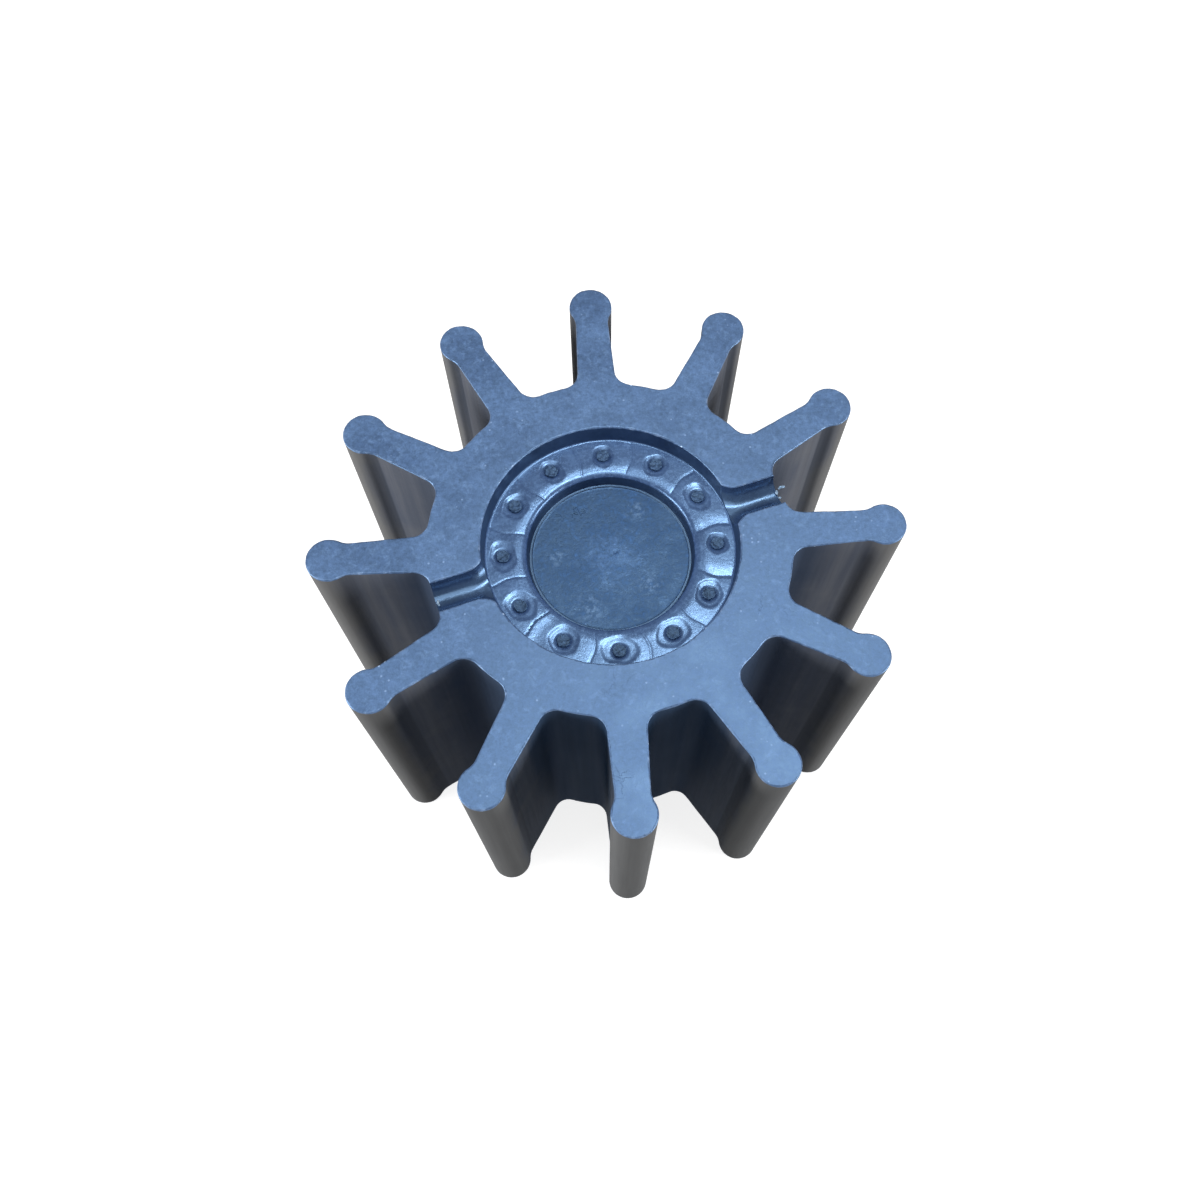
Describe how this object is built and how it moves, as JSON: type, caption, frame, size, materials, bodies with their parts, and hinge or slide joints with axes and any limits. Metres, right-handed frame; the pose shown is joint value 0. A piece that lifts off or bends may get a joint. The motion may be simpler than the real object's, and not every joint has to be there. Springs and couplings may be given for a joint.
{
  "type": "rubber pump impeller",
  "caption": "Flexible rubber impeller with straight bead-tipped vanes, a closed end with a gate ring and cross grooves, and a bonded splined drive insert.",
  "frame": {"origin": "centre of the open end face, on the axis, where the rotor rests", "axes": "+Z along the axis from the open shaft end to the closed end, +Y through the middle of one vane"},
  "size_m": [0.0826, 0.0826, 0.0508],
  "materials": {
    "moulded_rubber": "matt moulded rubber with a pale blue-grey bloom on the end faces, dark grey flanks",
    "insert_brass": "broached and turned brass, slightly dull"
  },
  "bodies": {
    "root": {"rubber_body": "moulded_rubber", "drive_insert": "insert_brass"}
  },
  "joints": []
}
